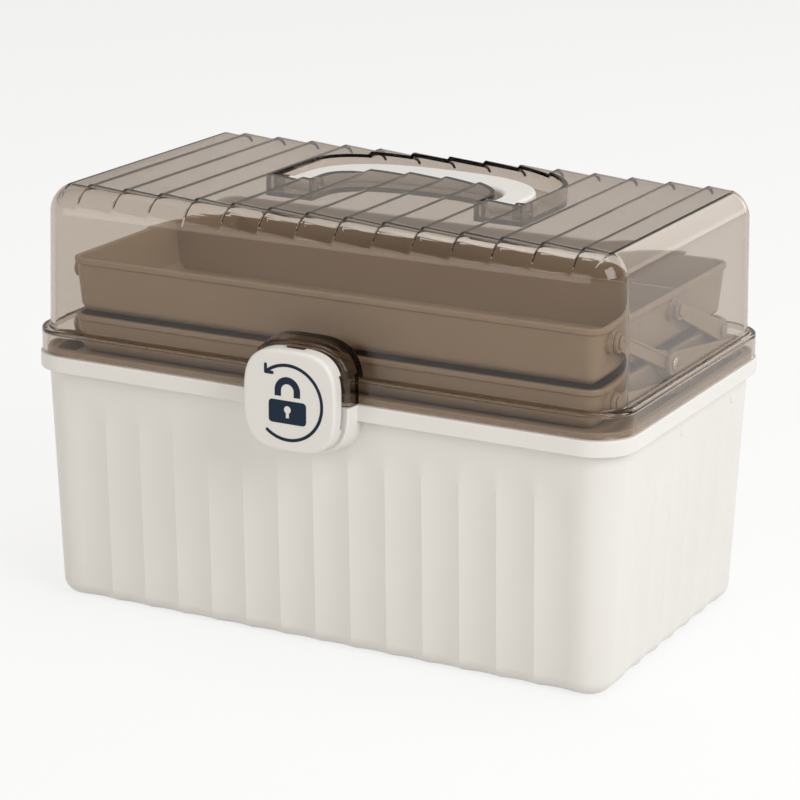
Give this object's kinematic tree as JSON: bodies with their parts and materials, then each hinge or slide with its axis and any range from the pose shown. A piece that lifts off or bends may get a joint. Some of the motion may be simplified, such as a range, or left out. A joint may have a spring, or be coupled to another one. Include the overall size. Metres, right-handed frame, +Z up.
{
  "type": "medication lock box",
  "caption": "Fluted plastic tub with a clear domed lid, folding handle, two swing-out trays on pivoting arms, and a rounded square knob that locks the lid.",
  "frame": {"origin": "middle of the tub's underside", "axes": "+X along the front to the right, +Y to the hinge at the back, +Z up"},
  "size_m": [0.33, 0.2179, 0.2181],
  "materials": {
    "white_plastic": "satin off-white plastic",
    "taupe_plastic": "satin taupe plastic",
    "clear_plastic": "clear smoky brown plastic",
    "steel": "plain metal"
  },
  "bodies": {
    "base": {"base_tub": "white_plastic", "tier_frame": "taupe_plastic", "knob_screw": "steel", "frame_front_pin_left": "taupe_plastic", "frame_front_pin_right": "taupe_plastic", "frame_rear_pin_left": "taupe_plastic", "frame_rear_pin_right": "taupe_plastic", "hinge_pin_left": "steel", "hinge_pin_right": "steel"},
    "lid": {"lid_shell": "clear_plastic", "lid_keeper": "clear_plastic", "handle_pin_left": "steel", "handle_pin_right": "steel"},
    "handle": {"carry_handle": "white_plastic"},
    "knob": {"knob_cap": "white_plastic", "knob_hub": "white_plastic"},
    "lower_rear_arms": {"lower_rear_arm_left": "taupe_plastic", "lower_rear_arm_right": "taupe_plastic"},
    "lower_front_arms": {"lower_front_arm_left": "taupe_plastic", "lower_front_arm_right": "taupe_plastic"},
    "lower_tray": {"lower_tray": "taupe_plastic", "middle_pin_left": "steel", "middle_pin_right": "steel", "lower_front_pin_left": "taupe_plastic", "lower_front_pin_right": "taupe_plastic", "lower_rear_pin_left": "taupe_plastic", "lower_rear_pin_right": "taupe_plastic"},
    "upper_rear_arms": {"upper_rear_arm_left": "taupe_plastic", "upper_rear_arm_right": "taupe_plastic"},
    "upper_front_arms": {"upper_front_arm_left": "taupe_plastic", "upper_front_arm_right": "taupe_plastic"},
    "upper_tray": {"upper_tray": "taupe_plastic", "upper_front_pin_left": "taupe_plastic", "upper_front_pin_right": "taupe_plastic", "upper_rear_pin_left": "taupe_plastic", "upper_rear_pin_right": "taupe_plastic"}
  },
  "joints": [
    {"name": "lid_hinge", "type": "hinge", "parent": "base", "child": "lid", "pos_m": [0, 0.1005, 0.1326], "axis": [-1, 0, 0], "range_deg": [0, 120]},
    {"name": "handle_fold", "type": "hinge", "parent": "lid", "child": "handle", "pos_m": [0, 0, 0.2119], "axis": [1, 0, 0], "range_deg": [0, 90]},
    {"name": "knob_turn", "type": "hinge", "parent": "base", "child": "knob", "pos_m": [0, -0.1037, 0.1334], "axis": [0, -1, 0], "range_deg": [0, 90]},
    {"name": "lower_rear_swing", "type": "hinge", "parent": "base", "child": "lower_rear_arms", "pos_m": [0, 0.079, 0.1366], "axis": [-1, 0, 0], "range_deg": [0, 60]},
    {"name": "lower_front_swing", "type": "hinge", "parent": "base", "child": "lower_front_arms", "pos_m": [0, 0.0205, 0.1314], "axis": [-1, 0, 0], "range_deg": [0, 60]},
    {"name": "lower_tray_level", "type": "hinge", "parent": "lower_rear_arms", "child": "lower_tray", "pos_m": [0, -0.007, 0.1478], "axis": [-1, 0, 0], "range_deg": [-60, 0]},
    {"name": "upper_rear_swing", "type": "hinge", "parent": "lower_tray", "child": "upper_rear_arms", "pos_m": [0, 0.0615, 0.1478], "axis": [-1, 0, 0], "range_deg": [0, 45]},
    {"name": "upper_front_swing", "type": "hinge", "parent": "lower_tray", "child": "upper_front_arms", "pos_m": [0, -0.007, 0.1478], "axis": [-1, 0, 0], "range_deg": [0, 45]},
    {"name": "upper_tray_level", "type": "hinge", "parent": "upper_rear_arms", "child": "upper_tray", "pos_m": [0, 0.0045, 0.1715], "axis": [-1, 0, 0], "range_deg": [-45, 0]}
  ],
  "couplings": [
    {"joint": "lower_rear_swing", "follows": "lid_hinge", "ratio": 0.5},
    {"joint": "lower_front_swing", "follows": "lid_hinge", "ratio": 0.5},
    {"joint": "lower_tray_level", "follows": "lid_hinge", "ratio": -0.5},
    {"joint": "upper_rear_swing", "follows": "lid_hinge", "ratio": 0.375},
    {"joint": "upper_front_swing", "follows": "lid_hinge", "ratio": 0.375},
    {"joint": "upper_tray_level", "follows": "lid_hinge", "ratio": -0.375}
  ]
}
